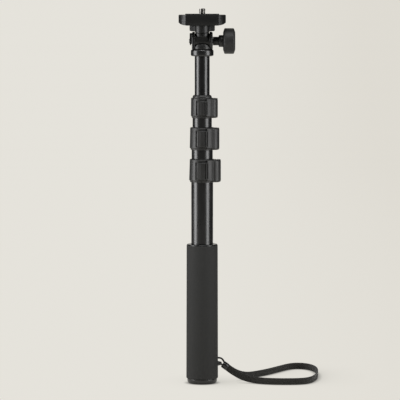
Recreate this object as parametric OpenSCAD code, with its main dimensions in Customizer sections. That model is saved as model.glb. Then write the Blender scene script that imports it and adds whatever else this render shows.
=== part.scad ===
// Telescopic camera monopod, folded: a foam grip with a wrist strap, four nested tubes,
// three flip-lever clamps and a tilting head with a camera plate. Sizes are in millimetres.
// The origin is the middle of the base cap's underside, +Z runs up the tubes, +X to the head's knob.

/* [Grip] */
// Radius of the base cap
cap_r = 15.1; // [14:0.1:17]
// Height of the base cap below the foam
cap_h = 5; // [3.5:0.1:8]
// Radius of the foam at its foot
foam_foot_r = 16.05; // [15.6:0.05:18]
// Radius of the foam at its top
foam_top_r = 15.7; // [15.6:0.05:18]
// Height at which the foam ends
foam_end_z = 138.8; // [110:0.1:150]
// Height of the plastic ring on top of the foam
grip_ring_h = 3.1; // [2:0.1:6]

/* [Tubes] */
// Outer radii of the four tubes, from the grip to the head
tube_r = [11, 9.8, 8.65, 7.5]; // [5:0.05:15]
// Wall of every tube
tube_wall = 0.7; // [0.5:0.05:0.8]
// Height of each tube's lower end while folded
tube_foot_z = [3, 8, 12, 16]; // [1:0.5:30]
// Outer radii of the sleeves that carry the middle and the upper clamp
sleeve_r = [10.63, 9.68]; // [8:0.01:12]
// Height of the guide bush on each inner tube's foot
bush_h = 14; // [8:0.5:20]

/* [Clamps] */
// Heights of the lower, middle and upper clamp
clamp_z = [204.1, 236.6, 268.7]; // [150:0.1:300]
// How tall each clamp is
clamp_h = [23.4, 22.8, 20.4]; // [18:0.1:30]
// Radius of each clamp at its foot
clamp_foot_r = [13.1, 12.5, 11.35]; // [10:0.05:16]
// Radius of each clamp at its top
clamp_top_r = [12.5, 12.1, 11.2]; // [10:0.05:16]
// How far each lever's nose reaches from the tube's axis
clamp_reach = [18.8, 17.3, 15.7]; // [14:0.1:20]
// Depth to which each tube or sleeve enters its clamp
clamp_seat = 9; // [6:0.5:10]

/* [Head] */
// Height of the tilt axis
tilt_z = 346; // [340:0.1:350]
// Radius of the collar on the top tube
collar_r = 11.4; // [10:0.1:13]
// Radius of the tilting post
post_r = 7.35; // [6:0.05:7.4]
// Radius of the tilt knob
knob_r = 12.9; // [10:0.1:16]
// Radius of the fluted wheel that turns the camera screw
wheel_r = 12.7; // [11:0.1:15]
// Number of flutes round that wheel
wheel_flutes = 28; // [12:1:36]
// Half width of the camera plate
plate_half_w = 23.65; // [20:0.05:26]
// Half depth of the camera plate
plate_half_d = 19; // [16:0.1:22]
// Radius of the camera screw's thread, a quarter of an inch across
screw_r = 3.175; // [3.175:0.001:3.176]

/* [Strap] */
// Width of the wrist webbing
webbing_w = 6.7; // [5:0.1:10]
// Thickness of the wrist webbing
webbing_t = 1.4; // [1:0.1:2]
// Diameter of the thin cord that joins the webbing to the grip
cord_d = 1.8; // [1:0.1:2]

/* [Hidden] */
$fn = 72;

black_metal = [0.09, 0.09, 0.09];
black_plastic = [0.13, 0.13, 0.13];
foam_grey = [0.2, 0.2, 0.2];
strap_black = [0.16, 0.155, 0.14];
steel = [0.72, 0.71, 0.68];

// Play between a part that slides or turns and its guide, and between parts that pass each other
running = 0.05;
clear = 0.3;
cut = 0.01;

// Each clamp is fixed on a tube or a sleeve and brakes the next tube
seat_r = [tube_r[0], sleeve_r[0], sleeve_r[1]];
slide_r = [tube_r[1], tube_r[2], tube_r[3]];
cam_r = 2.45;
cam_throw = 0.3;
nose_back = 1.2;
pin_r = 1.25;
lug_h = 2.4;
pad_half_w = 3.7;
arm_t = 1.4;
lever_end = -5.4;
lever_shoulder = 5.2;
tab_end = 4.9;
lever_grooves = [3.05, 5.35];
groove_w = 0.9;
tab_inset = 3;
function clamp_top(i) = clamp_z[i] + clamp_h[i];
function pivot_x(i) = seat_r[i] + cam_throw + cam_r + 0.05;
function lug_r(i) = clamp_reach[i] - pivot_x(i) - 0.1;
// A smaller clamp has the lower clamp's lever, scaled with its foot
function share(i) = clamp_foot_r[i] / clamp_foot_r[0];
function arm_in(i) = clamp_foot_r[i] + 0.4;
function arm_out(i) = arm_in(i) + arm_t;
// The nose is round about a point in front of the pin, so that a crease parts it from the arm
function nose_r(i) = 7.6 * share(i);
function nose_x(i) = clamp_reach[i] - nose_r(i);
function nose_y(i) = -2 * share(i);

fork_gap = post_r + 0.03;
fork_left = -10.4;
fork_right = 10.55;
fork_half_d = 7.3;
boss_x = 10.75;
fork_z = 337.5;
collar_z = 330.8;
bolt_r = 2.5;
barrel_r = 7;
post_z = tilt_z + 4.5;
tongue_reach = norm([barrel_r, post_z - tilt_z]);
neck_z = tilt_z + 7.8;
stud_foot_z = post_z + 1.5;
wheel_z = tilt_z + 9.85;
wheel_h = 5.75;
plate_z = 361.7;
plate_h = 10.6;
pad_h = 0.9;
screw_top = 378.6;
journal_r = 2.6;
hub_x = 16.5;
knob_x = 21;
knob_end = 33.1;
bolt_start = -13.1;
bolt_end = 24.5;

// Points along an arc about [x, y]
function arc(x, y, r, from, to, steps = 6) =
    [for (i = [0:steps]) let (a = from + (to - from) * i / steps) [x + r * cos(a), y + r * sin(a)]];
// A section for a turned ring, with its two outer edges rounded
function ring_section(r_in, z_low, r_low, z_high, r_high, edge) = concat(
    [[r_in, z_low]],
    arc(r_low - edge, z_low + edge, edge, -90, 0),
    arc(r_high - edge, z_high - edge, edge, 0, 90),
    [[r_in, z_high]]);

module turned(points) rotate_extrude() polygon(points);
// A disc with both rims rounded
module round_disc(r, z_low, z_high, edge) turned(concat(
    [[0, z_low]],
    arc(r - edge, z_low + edge, edge, -90, 0, 4),
    arc(r - edge, z_high - edge, edge, 0, 90, 4),
    [[0, z_high]]));
module ring(r_in, r_out, z_low, z_high)
    turned([[r_in, z_low], [r_out, z_low], [r_out, z_high], [r_in, z_high]]);
module tube(r, z_low, z_high) ring(r - tube_wall, r, z_low, z_high);
module along_x(x) translate([x, 0, tilt_z]) rotate([0, 90, 0]) children();
// A rectangle from x_low to x_high, with one radius on its left corners and one on its right corners
module rounded(x_low, x_high, half_d, left, right) {
    translate([x_low + left, -half_d]) square([x_high - right - x_low - left, 2 * half_d]);
    translate([x_low, left - half_d]) square([left, 2 * (half_d - left)]);
    translate([x_high - right, right - half_d]) square([right, 2 * (half_d - right)]);
    for (side = [-1, 1]) {
        translate([x_low + left, side * (half_d - left)]) circle(left);
        translate([x_high - right, side * (half_d - right)]) circle(right);
    }
}

// Sweeps a flat or round section along a route: the section's points are [across, up] from the route
function unit(v) = v / norm(v);
function spline(p, i, t) = let (
    n = len(p) - 1, a = p[max(i - 1, 0)], b = p[i], c = p[min(i + 1, n)], d = p[min(i + 2, n)])
    0.5 * (2 * b + (c - a) * t + (2 * a - 5 * b + 4 * c - d) * t * t + (3 * b - a - 3 * c + d) * t * t * t);
function smooth_route(p, steps) = concat(
    [for (i = [0:len(p) - 2], s = [0:steps - 1]) spline(p, i, s / steps)], [p[len(p) - 1]]);
function heading(p, i) = unit(p[min(i + 1, len(p) - 1)] - p[max(i - 1, 0)]);
function swept_ring(centre, along, section, lean) = let (
    across = unit(cross(along, lean)), up = cross(across, along))
    [for (s = section) centre + s[0] * across + s[1] * up];
module sweep(route, section, lean) {
    n = len(section);
    last = len(route) - 1;
    points = [for (i = [0:last], q = swept_ring(route[i], heading(route, i), section, lean)) q];
    sides = [for (i = [0:last - 1], j = [0:n - 1], half = [0, 1]) let (
        a = i * n + j, b = i * n + (j + 1) % n)
        half == 0 ? [a, b, b + n] : [a, b + n, a + n]];
    caps = [[for (j = [n - 1:-1:0]) j], [for (j = [0:n - 1]) last * n + j]];
    polyhedron(points, concat(sides, caps), convexity = 6);
}

// The cord leaves the foam, loops inside the bead and comes back to the anchor
cord_route = [
    [11.6, 4.4, 24.7], [13.8, 3.6, 24.9], [16, 2.7, 25.1], [18.2, 1.6, 25.1], [20.2, 0.7, 24.2],
    [21.5, 0.2, 22.6], [22.3, 0, 21.2], [23.5, 0, 20.2], [24.3, 0, 18.8], [24.3, 0, 17.4], [23.3, 0, 16.3],
    [21.9, 0, 16.4], [20.9, 0, 17.4], [20.2, 0, 18.6], [18.8, 0, 19.4], [16.8, 0, 19.7], [14.4, 0, 19.8],
    [12, 0, 19.8]];
// The webbing leaves the bead on edge, runs along the floor in a drop-shaped loop and comes back
webbing_route = [
    [25, -0.9, 16.2], [26.4, -0.9, 15.1], [29.5, -1, 12.8], [34, -1.2, 9.9], [39.5, -1.6, 6.9],
    [46, -3, 4.7], [53, -6.5, 3.7], [61, -11, 3.5], [72, -14.5, 3.5], [84, -15.5, 3.5], [96, -14.5, 3.5],
    [104.5, -10.5, 3.5], [110, -3, 3.5], [114, 8, 3.5], [117, 22, 3.5], [118.5, 37, 3.5], [119, 53, 3.5],
    [118, 68, 3.5], [114.5, 82, 3.5], [109, 91, 3.5], [102, 95, 3.5], [95, 93.5, 3.5], [88, 86, 3.5],
    [79, 71, 3.5], [67.5, 52, 3.5], [56, 37, 3.5], [47, 25.5, 4.1], [39.5, 15.5, 6.4], [33.5, 7, 9.9],
    [29.3, 2.6, 12.9], [26.4, 0.9, 15.1], [25, 0.9, 16.2]];
bead_at = [23.4, 0, 17.4];
bead_tilt = 127;
bead_l = 6.4;
bead_r = 3.6;
strap_z = 19.8;

// Grip

module base_cap() {
    plug_r = tube_r[0] - tube_wall;
    color(black_plastic) turned(concat(
        [[0, 0]],
        arc(cap_r - 2.8, 2.8, 2.8, -90, 0),
        [[cap_r, cap_h], [tube_r[0], cap_h], [tube_r[0], tube_foot_z[0]], [plug_r, tube_foot_z[0]],
         [plug_r, tube_foot_z[1] - 1], [0, tube_foot_z[1] - 1]]));
}

module foam_grip() {
    anchor_hole_r = 2.4;
    color(foam_grey) difference() {
        turned(ring_section(tube_r[0], cap_h, foam_foot_r, foam_end_z, foam_top_r, 0.6));
        translate([0, 0, strap_z]) rotate([0, 90, 0]) cylinder(r = anchor_hole_r, h = foam_foot_r + 1);
    }
}

module grip_ring() {
    edge = 0.5;
    low_r = foam_top_r - 0.15;
    high_r = foam_top_r - 1.45;
    top = foam_end_z + grip_ring_h;
    color(black_plastic) turned([
        [tube_r[0], foam_end_z], [low_r, foam_end_z], [low_r, foam_end_z + edge],
        [high_r + edge, top - edge], [high_r, top], [tube_r[0], top]]);
}

module strap_anchor() {
    tip_x = 19.8;
    color(black_plastic) intersection() {
        translate([0, 0, strap_z]) rotate([0, 90, 0]) union() {
            cylinder(r = 2.4, h = foam_foot_r);
            translate([0, 0, foam_foot_r - cut])
                cylinder(r1 = 2.4, r2 = 1.6, h = tip_x - foam_foot_r + cut);
        }
        ring(tube_r[0], 2 * foam_foot_r, strap_z - 4, strap_z + 4);
    }
}

module strap_cord() {
    sides = 8;
    section = [for (j = [0:sides - 1]) cord_d / 2 * [cos(360 * j / sides), sin(360 * j / sides)]];
    color(strap_black) sweep(cord_route, section, [0, 1, 0]);
}

module strap_bead() {
    color(black_plastic) translate(bead_at) rotate([0, bead_tilt, 0])
        round_disc(bead_r, -bead_l / 2, bead_l / 2, 1);
}

module strap_webbing() {
    x = webbing_t / 2;
    y = webbing_w / 2;
    edge = 0.4;
    section = [[x, -y + edge], [x, y - edge], [x - edge, y], [edge - x, y],
               [-x, y - edge], [-x, edge - y], [edge - x, -y], [x - edge, -y]];
    color(strap_black) sweep(smooth_route(webbing_route, 2), section, [0, 0, 1]);
}

// Tubes

module lower_tube() color(black_metal) tube(tube_r[0], tube_foot_z[0], clamp_z[0] + clamp_seat);
module second_tube() color(black_metal) tube(tube_r[1], tube_foot_z[1], clamp_z[1] + clamp_seat);
module third_tube() color(black_metal) tube(tube_r[2], tube_foot_z[2], clamp_z[2] + clamp_seat);
module top_tube() color(black_metal) tube(tube_r[3], tube_foot_z[3], collar_z + 4);

// A bush on an inner tube's foot guides it in the tube outside
module guide_bush(i) color(black_plastic)
    ring(tube_r[i], tube_r[i - 1] - tube_wall - running, tube_foot_z[i], tube_foot_z[i] + bush_h);
module second_bush() guide_bush(1);
module third_bush() guide_bush(2);
module top_bush() guide_bush(3);

// A sleeve stiffens a tube's upper end and stands on the clamp below it while folded
module clamp_sleeve(i) color(black_metal)
    ring(tube_r[i], sleeve_r[i - 1], clamp_top(i - 1) + clear, clamp_z[i] + clamp_seat);
module middle_sleeve() clamp_sleeve(1);
module upper_sleeve() clamp_sleeve(2);

module wiper_ring() {
    h = 2.7;
    r_in = slide_r[2] + running;
    color(black_plastic) turned([
        [r_in, clamp_top(2)], [9.65, clamp_top(2)], [9.65, clamp_top(2) + 1.1],
        [8.75, clamp_top(2) + h], [r_in, clamp_top(2) + h]]);
}

// Clamps

module at_pivot(i, z) translate([pivot_x(i), 0, z]) children();

// A ring round the tube's end, with two lugs for the lever's pin and a window for the brake pad
module clamp_body(i) {
    edge = 1.1;
    lip = 0.8;
    lip_h = 1.5;
    bore_r = slide_r[i] + clear;
    seat_z = clamp_z[i] + clamp_seat;
    notch_w = 1;
    notch_x = lever_end * share(i) - 0.3 - notch_w;
    window_z = clamp_z[i] + lug_h;
    window_h = clamp_h[i] - 2 * lug_h;
    color(black_plastic) difference() {
        union() {
            turned(concat(
                [[seat_r[i], clamp_z[i]], [clamp_foot_r[i] - lip - 0.5, clamp_z[i]],
                 [clamp_foot_r[i] - lip, clamp_z[i] + 0.5], [clamp_foot_r[i] - lip, clamp_z[i] + lip_h],
                 [clamp_foot_r[i], clamp_z[i] + lip_h + 0.6]],
                arc(clamp_top_r[i] - edge, clamp_top(i) - edge, edge, 0, 90),
                [[bore_r, clamp_top(i)], [bore_r, seat_z], [seat_r[i], seat_z]]));
            for (z = [clamp_z[i] + 0.4, clamp_top(i) - lug_h]) difference() {
                at_pivot(i, 0) round_disc(lug_r(i), z, z + lug_h - 0.4, 0.8);
                translate([0, 0, z - 1]) cylinder(r = clamp_top_r[i] - 1, h = lug_h + 2);
            }
        }
        at_pivot(i, window_z) cylinder(r = lug_r(i) + 0.6, h = window_h);
        // A notch beside the lever's free end, for a fingernail
        difference() {
            translate([notch_x, -2 * clamp_reach[i], clamp_z[i] + tab_inset])
                cube([notch_w, 2 * clamp_reach[i], clamp_h[i] - 2 * tab_inset]);
            cylinder(r = clamp_top_r[i] - 0.9, h = 2 * clamp_top(i));
        }
        translate([0, -pad_half_w, seat_z])
            cube([pivot_x(i), 2 * pad_half_w, clamp_top(i) - lug_h - seat_z]);
        at_pivot(i, clamp_z[i] - 1) cylinder(r = pin_r, h = clamp_h[i] + 2);
    }
}
module lower_clamp() clamp_body(0);
module middle_clamp() clamp_body(1);
module upper_clamp() clamp_body(2);

// The lever's nose: a disc with rounded rims, cut where it meets the clamp
module lever_nose(i) translate([nose_x(i), nose_y(i), 0])
    round_disc(nose_r(i), clamp_z[i] + 0.2, clamp_top(i) - 0.5, 1.9);

// The thumb tab at the lever's free end: two gently curved facets that meet in a ridge
module thumb_tab(i) {
    corner = 3;
    facet_r = 30 * share(i);
    left = lever_end * share(i);
    right = tab_end * share(i);
    low = clamp_z[i] + tab_inset;
    high = clamp_top(i) - tab_inset;
    difference() {
        intersection() {
            translate([7.56 * share(i), 13.28 * share(i), 0]) round_disc(facet_r, low, high, 1);
            translate([-0.9 * share(i), 14.46 * share(i), 0]) round_disc(facet_r, low, high, 1);
            rotate([90, 0, 0]) linear_extrude(2 * clamp_reach[i]) union() {
                translate([left + corner, low]) square([right - left - corner, high - low]);
                translate([left, low + corner]) square([corner, high - low - 2 * corner]);
                for (z = [low + corner, high - corner]) translate([left + corner, z]) circle(corner);
            }
        }
        cylinder(r = arm_out(i) - 0.6, h = 2 * clamp_top(i));
    }
}

// Two upright grooves that part the thumb tab from the arm
module arm_grooves(i) {
    inset = tab_inset + 1;
    for (x = lever_grooves) difference() {
        translate([x * share(i) - groove_w / 2, -2 * clamp_reach[i], clamp_z[i] + inset])
            cube([groove_w, 2 * clamp_reach[i], clamp_h[i] - 2 * inset]);
        cylinder(r = arm_out(i) - 0.8, h = 2 * clamp_top(i));
    }
}

// The arm that lies round the front of the clamp, from the thumb tab to the nose
module lever_arm(i, from_x, z_low, z_high) intersection() {
    turned(ring_section(arm_in(i) - 1, z_low, arm_out(i), z_high, arm_out(i), 0.7));
    translate([from_x, -2 * clamp_reach[i], 0])
        cube([2 * clamp_reach[i], 2 * clamp_reach[i], 2 * clamp_top(i)]);
}

module clamp_lever(i) {
    reach = 2 * clamp_reach[i];
    color(black_plastic) difference() {
        union() {
            difference() {
                union() {
                    lever_arm(i, lever_end * share(i) + 0.6,
                              clamp_z[i] + tab_inset, clamp_top(i) - tab_inset);
                    lever_arm(i, lever_shoulder * share(i), clamp_z[i] + 1.8, clamp_top(i) - 0.6);
                    intersection() {
                        lever_nose(i);
                        translate([nose_x(i) - 1, -reach, 0])
                            cube([reach, reach + nose_back, 2 * clamp_top(i)]);
                    }
                    thumb_tab(i);
                }
                arm_grooves(i);
                // Room for the clamp and for its two lugs
                cylinder(r = arm_in(i), h = 2 * clamp_top(i));
                for (z = [clamp_z[i] - 1, clamp_top(i) - lug_h - clear])
                    at_pivot(i, z) cylinder(r = lug_r(i) + clear, h = lug_h + clear + 1);
            }
            // The cam is off the pin's centre, so that closing the lever presses the pad
            translate([-cam_throw, 0, 0]) at_pivot(i, clamp_z[i] + lug_h + clear)
                cylinder(r = cam_r, h = clamp_h[i] - 2 * (lug_h + clear));
        }
        at_pivot(i, clamp_z[i] - 1) cylinder(r = pin_r + running, h = clamp_h[i] + 2);
    }
}
module lower_lever() clamp_lever(0);
module middle_lever() clamp_lever(1);
module upper_lever() clamp_lever(2);

module lever_pin(i) color(steel) at_pivot(i, clamp_z[i] + 0.6) cylinder(r = pin_r, h = clamp_h[i] - 0.8);
module lower_lever_pin() lever_pin(0);
module middle_lever_pin() lever_pin(1);
module upper_lever_pin() lever_pin(2);

// A curved pad that the lever's cam presses on the sliding tube
module brake_pad(i) {
    low = clamp_z[i] + clamp_seat + 0.4;
    high = clamp_top(i) - lug_h - 0.4;
    color(foam_grey) intersection() {
        ring(slide_r[i] + running, seat_r[i] - 0.05, low, high);
        translate([0, -pad_half_w, low]) cube([2 * seat_r[i], 2 * pad_half_w, high - low]);
    }
}
module lower_brake_pad() brake_pad(0);
module middle_brake_pad() brake_pad(1);
module upper_brake_pad() brake_pad(2);

// Head

module head_collar() {
    edge = 1.6;
    floor_z = collar_z + 4;
    color(black_metal) turned(concat(
        [[tube_r[3], collar_z]],
        arc(collar_r - edge, collar_z + edge, edge, -90, 0),
        arc(collar_r - edge, fork_z - edge, edge, 0, 90),
        [[0, fork_z], [0, floor_z], [tube_r[3], floor_z]]));
}

// A flared foot with two cheeks: the post turns between them on the bolt
module tilt_fork() {
    crown = 2;
    edge = 2.6;
    disc_r = 9.3;
    disc_edge = 1.5;
    foot_h = 5.4;
    pad_x = -12.6;
    color(black_plastic) difference() {
        union() {
            turned([[0, fork_z], [9.2, fork_z], [9.75, fork_z + 0.6], [9.8, fork_z + 1.6],
                    [9.65, fork_z + 3], [9.3, fork_z + 4.4], [8.9, fork_z + foot_h], [0, fork_z + foot_h]]);
            // The left cheek: a flat front and a round top, trimmed by its outlines from above and in front
            intersection() {
                along_x(fork_left - 1) linear_extrude(1 - fork_gap - fork_left) union() {
                    translate([-crown, 0]) circle(fork_half_d);
                    translate([-crown, -fork_half_d]) square([crown + tilt_z - fork_z, 2 * fork_half_d]);
                }
                translate([0, 0, fork_z - 1]) linear_extrude(30)
                    rounded(fork_left, 0, fork_half_d + 0.1, 1.4, 1.4);
                translate([0, 20, tilt_z]) rotate([90, 0, 0]) linear_extrude(40)
                    rounded(fork_left - 0.2, 0, crown + fork_half_d + 0.3, edge, edge);
            }
            // The right cheek: a round disc that stands on the foot
            intersection() {
                along_x(0) turned(concat(
                    [[0, fork_gap], [disc_r, fork_gap]],
                    arc(disc_r - disc_edge, fork_right - disc_edge, disc_edge, 0, 90),
                    [[0, fork_right]]));
                translate([0, -20, fork_z]) cube([20, 40, 30]);
            }
            along_x(boss_x - 1.7) cylinder(r1 = 6.2, r2 = 4.6, h = 1.7);
            intersection() {
                along_x(0) rotate([0, 180, 0]) round_disc(8, 0, -pad_x, 0.7);
                translate([pad_x, -5, tilt_z - 2.8]) cube([fork_left + 0.5 - pad_x, 10, 12]);
            }
        }
        // Room for the post's tongue to swing
        along_x(0) cylinder(r = tongue_reach + clear, h = 2 * fork_gap, center = true);
        along_x(-20) cylinder(r = bolt_r + running, h = 40);
        translate([pad_x - 1, 0, tilt_z]) rotate([0, 90, 0]) cylinder(r = 4.4, h = 2.6, $fn = 6);
    }
}

module tilt_nut() {
    color(steel) difference() {
        along_x(-12.4) cylinder(r = 4.2, h = 1.2, $fn = 6);
        along_x(-20) cylinder(r = bolt_r + running, h = 40);
    }
}

// The post has a barrel that the bolt runs through, and a slotted head that holds the wheel under the plate
module tilt_post() {
    slot_z = wheel_z - 0.15;
    head_z = slot_z - 0.7;
    head_half_w = post_r - 0.1;
    head_end = 10.2;
    flat_end = 5;
    neck_r = post_r - 0.45;
    color(black_metal) difference() {
        union() {
            // A round barrel, flat in front and behind up to the post
            along_x(-post_r) cylinder(r = barrel_r, h = 2 * post_r);
            along_x(-post_r) linear_extrude(post_r + flat_end)
                translate([tilt_z - post_z, -barrel_r]) square([post_z - tilt_z, 2 * barrel_r]);
            translate([0, 0, tilt_z + 3]) cylinder(r = post_r - 0.5, h = post_z - tilt_z - 3 + cut);
            translate([0, 0, post_z]) cylinder(r = post_r, h = neck_z - post_z);
            translate([0, 0, neck_z - cut]) cylinder(r = neck_r, h = head_z - neck_z + 2 * cut);
            translate([0, 0, head_z]) linear_extrude(plate_z - head_z) union() {
                square([2 * head_half_w, 2 * head_end], center = true);
                for (side = [-1, 1]) translate([0, side * head_end]) circle(head_half_w);
            }
        }
        along_x(-20) cylinder(r = bolt_r + running, h = 40);
        translate([0, 0, slot_z]) cylinder(r = wheel_r + clear, h = plate_z - slot_z + 1);
        translate([0, 0, stud_foot_z]) cylinder(r = journal_r + running, h = 10);
    }
}

module tilt_bolt() {
    tip = 0.6;
    color(steel) along_x(bolt_start) union() {
        cylinder(r1 = bolt_r - tip, r2 = bolt_r, h = tip);
        translate([0, 0, tip]) cylinder(r = bolt_r, h = bolt_end - bolt_start - tip);
    }
}

// The knob's spacer and hub, turned in one
module knob_hub() {
    spacer_x = boss_x + 0.15;
    color(black_plastic) difference() {
        union() {
            along_x(spacer_x) cylinder(r = 4.3, h = hub_x - spacer_x + 1);
            along_x(hub_x) cylinder(r1 = 5.4, r2 = 6, h = 0.8);
            along_x(hub_x + 0.8) cylinder(r = 6, h = knob_x - hub_x - 0.8);
        }
        along_x(-20) cylinder(r = bolt_r, h = 60);
    }
}

module tilt_knob() {
    edge = 1.3;
    length = knob_end - knob_x;
    dome = 1;
    color(black_plastic) difference() {
        along_x(knob_x) turned(concat(
            [[0, 0], [knob_r - 4, 0]],
            arc(knob_r - edge, dome + edge, edge, -80, 0),
            arc(knob_r - edge, length - dome - edge, edge, 0, 80),
            [[knob_r - 4, length], [0, length]]));
        along_x(knob_x - 1) cylinder(r = bolt_r, h = bolt_end - knob_x + 1);
    }
}

// The camera screw turns in the post on its journal: the wheel's seat, a neck, and the camera's thread
module camera_screw() {
    thread_z = plate_z + plate_h + pad_h;
    wheel_top = wheel_z + wheel_h;
    tip = 0.7;
    color(steel) turned([
        [0, stud_foot_z], [journal_r, stud_foot_z], [journal_r, wheel_z], [screw_r, wheel_z],
        [screw_r, wheel_top], [journal_r, wheel_top], [journal_r, thread_z - 0.3], [screw_r, thread_z],
        [screw_r, screw_top - tip], [screw_r - tip, screw_top], [0, screw_top]]);
}

// A fluted wheel pressed on the screw: a thumb turns it from both sides of the post's head
module lock_wheel() {
    edge = 1.4;
    flute_r = 0.85;
    color(black_plastic) difference() {
        turned(concat(
            [[screw_r, wheel_z]],
            arc(wheel_r - edge, wheel_z + edge, edge, -90, 0),
            [[wheel_r, wheel_z + wheel_h - 0.4], [wheel_r - 0.4, wheel_z + wheel_h],
             [screw_r, wheel_z + wheel_h]]));
        for (k = [0:wheel_flutes - 1]) rotate([0, 0, 360 * (k + 0.5) / wheel_flutes])
            translate([wheel_r + 0.35, 0, wheel_z - 1]) cylinder(r = flute_r, h = wheel_h + 2, $fn = 24);
    }
}

// The plate's outline seen from above: a flat front with two facets round each end
plate_outline = let (
    x = plate_half_w, y = plate_half_d,
    quarter = [[x, 8.5], [x - 3.2, y - 3], [x - 7, y]])
    concat(quarter, [for (i = [2:-1:0]) [-quarter[i][0], quarter[i][1]]],
           [for (p = quarter) [-p[0], -p[1]]], [for (i = [2:-1:0]) [quarter[i][0], -quarter[i][1]]]);

module camera_plate() {
    x = plate_half_w;
    // The underside sweeps up to thinner ends
    front = [[-x, 3], [-x + 1.6, 1.6], [-x + 4, 0.7], [-x + 8, 0],
             [x - 8, 0], [x - 4, 0.7], [x - 1.6, 1.6], [x, 3], [x, plate_h - 0.5], [x - 0.5, plate_h],
             [0.5 - x, plate_h], [-x, plate_h - 0.5]];
    color(black_plastic) difference() {
        intersection() {
            translate([0, 0, plate_z]) linear_extrude(plate_h) polygon(plate_outline);
            translate([0, 2 * plate_half_d, plate_z]) rotate([90, 0, 0])
                linear_extrude(4 * plate_half_d) polygon(front);
        }
        translate([0, 0, plate_z - 1]) cylinder(r = screw_r + 0.15, h = plate_h + 2);
        // Fine grip lines along both ends
        for (side = [-1, 1], z = [4.6, 6.2, 7.8]) translate([side * (x + 0.6), 0, plate_z + z])
            cube([2, 17, 0.5], center = true);
    }
}

module plate_pad() {
    half_w = 17;
    half_d = plate_half_d - 3;
    corner = 2;
    z = plate_z + plate_h;
    color(foam_grey) difference() {
        translate([0, 0, z]) linear_extrude(pad_h) rounded(-half_w, half_w, half_d, corner, corner);
        translate([0, 0, z - 1]) cylinder(r = screw_r + 0.4, h = pad_h + 2);
    }
}

base_cap();
foam_grip();
grip_ring();
strap_anchor();
strap_cord();
strap_bead();
strap_webbing();
lower_tube();
second_tube();
third_tube();
top_tube();
second_bush();
third_bush();
top_bush();
middle_sleeve();
upper_sleeve();
wiper_ring();
lower_clamp();
middle_clamp();
upper_clamp();
lower_lever();
middle_lever();
upper_lever();
lower_lever_pin();
middle_lever_pin();
upper_lever_pin();
lower_brake_pad();
middle_brake_pad();
upper_brake_pad();
head_collar();
tilt_fork();
tilt_nut();
tilt_post();
tilt_bolt();
knob_hub();
tilt_knob();
camera_screw();
lock_wheel();
camera_plate();
plate_pad();
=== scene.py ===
"""Looks of a folded camera monopod: foam grip, wrist strap, four tubes, three clamps and a tilting head."""

import math

import bmesh
import bpy
from mathutils import Matrix, Vector


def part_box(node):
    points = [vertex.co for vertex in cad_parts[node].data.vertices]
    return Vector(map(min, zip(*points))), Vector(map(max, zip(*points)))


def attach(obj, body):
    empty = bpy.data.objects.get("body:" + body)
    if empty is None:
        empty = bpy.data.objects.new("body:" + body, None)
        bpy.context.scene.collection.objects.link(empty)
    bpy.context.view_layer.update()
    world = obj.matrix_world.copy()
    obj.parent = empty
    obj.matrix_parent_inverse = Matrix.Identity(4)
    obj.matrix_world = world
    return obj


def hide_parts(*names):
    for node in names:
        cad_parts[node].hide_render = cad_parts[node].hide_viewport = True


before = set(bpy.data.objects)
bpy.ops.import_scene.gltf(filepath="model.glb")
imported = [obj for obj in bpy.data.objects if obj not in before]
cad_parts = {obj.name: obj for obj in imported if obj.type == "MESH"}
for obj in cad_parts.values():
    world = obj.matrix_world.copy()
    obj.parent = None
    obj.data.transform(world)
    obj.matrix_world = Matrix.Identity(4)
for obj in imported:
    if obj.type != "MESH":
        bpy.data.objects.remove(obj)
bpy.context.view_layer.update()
scene = bpy.context.scene
scene.view_settings.view_transform = "Standard"

# Camera
# The photograph is taken with a long lens from almost three metres, a little above the head of the pole
# and tipped down by a few degrees, so that the tubes stay upright.
CAMERA_LENS = 240.8
CAMERA_SENSOR = 36.0
CAMERA_PLACE = (-0.0022, -2.690, 0.404)
CAMERA_PITCH = 4.6355
CAMERA_REACH = 30.0
camera_data = bpy.data.cameras.new("camera")
camera_data.lens = CAMERA_LENS
camera_data.sensor_width = CAMERA_SENSOR
camera_data.clip_end = CAMERA_REACH
camera = bpy.data.objects.new("camera", camera_data)
camera.location = CAMERA_PLACE
camera.rotation_euler = (math.radians(90.0 - CAMERA_PITCH), 0.0, 0.0)
scene.collection.objects.link(camera)
scene.camera = camera

# Strap webbing
# One flat loop of woven black nylon, closed inside the bead. It stands on its edge, as stiff new
# webbing does, and runs out along the floor to the right and behind the pole.
WEBBING_WIDTH = 0.0067
WEBBING_THICKNESS = 0.0013
WEBBING_STEPS = 6
SELVEDGE = 0.00035
STRAND_CREASE = 60.0
PLACE_DIGITS = 7
WEBBING_ROUTE = [
    (0.0250, -0.0009, 0.0162), (0.0264, -0.0009, 0.0151), (0.0295, -0.0010, 0.0128),
    (0.0340, -0.0012, 0.0099), (0.0395, -0.0016, 0.0069), (0.0460, -0.0030, 0.0047),
    (0.0530, -0.0065, 0.0037), (0.0610, -0.0110, 0.0035), (0.0720, -0.0145, 0.0035),
    (0.0840, -0.0155, 0.0035), (0.0960, -0.0145, 0.0035), (0.1045, -0.0105, 0.0035),
    (0.1100, -0.0030, 0.0035), (0.1140, 0.0080, 0.0035), (0.1170, 0.0220, 0.0035),
    (0.1185, 0.0370, 0.0035), (0.1190, 0.0530, 0.0035), (0.1180, 0.0680, 0.0035),
    (0.1145, 0.0820, 0.0035), (0.1090, 0.0910, 0.0035), (0.1020, 0.0950, 0.0035),
    (0.0950, 0.0935, 0.0035), (0.0880, 0.0860, 0.0035), (0.0790, 0.0710, 0.0035),
    (0.0675, 0.0520, 0.0035), (0.0560, 0.0370, 0.0035), (0.0470, 0.0255, 0.0041),
    (0.0395, 0.0155, 0.0064), (0.0335, 0.0070, 0.0099), (0.0293, 0.0026, 0.0129),
    (0.0264, 0.0009, 0.0151), (0.0250, 0.0009, 0.0162),
]


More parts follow.
